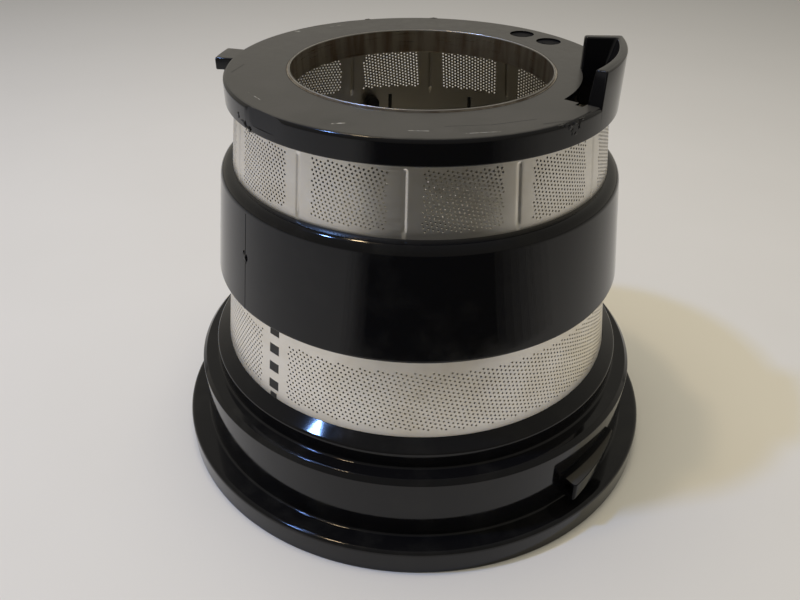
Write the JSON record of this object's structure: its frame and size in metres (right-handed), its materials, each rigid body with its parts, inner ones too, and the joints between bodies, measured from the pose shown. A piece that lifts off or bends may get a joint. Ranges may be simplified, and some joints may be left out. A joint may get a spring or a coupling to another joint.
{
  "type": "juicer mesh screen",
  "caption": "Conical perforated steel strainer screen of a slow juicer with a black moulded stepped rim, middle band and outlet collar with a raised pulp lip, standing on its wide rim.",
  "frame": {"origin": "middle of the rim's foot, in the plane that the strainer stands on", "axes": "+Z along the cone's axis from the wide rim to the outlet collar, +X towards the rear end of the pulp lip, -Y towards the viewer of the picture"},
  "size_m": [0.12, 0.12, 0.0983],
  "materials": {
    "screen_steel": "satin",
    "ring_steel": "satin",
    "frame_plastic": "gloss",
    "collar_plastic": "satin"
  },
  "bodies": {
    "root": {"steel_screen": "screen_steel", "rim_frame": "frame_plastic", "outlet_collar": "collar_plastic", "wear_ring": "ring_steel"}
  },
  "joints": []
}
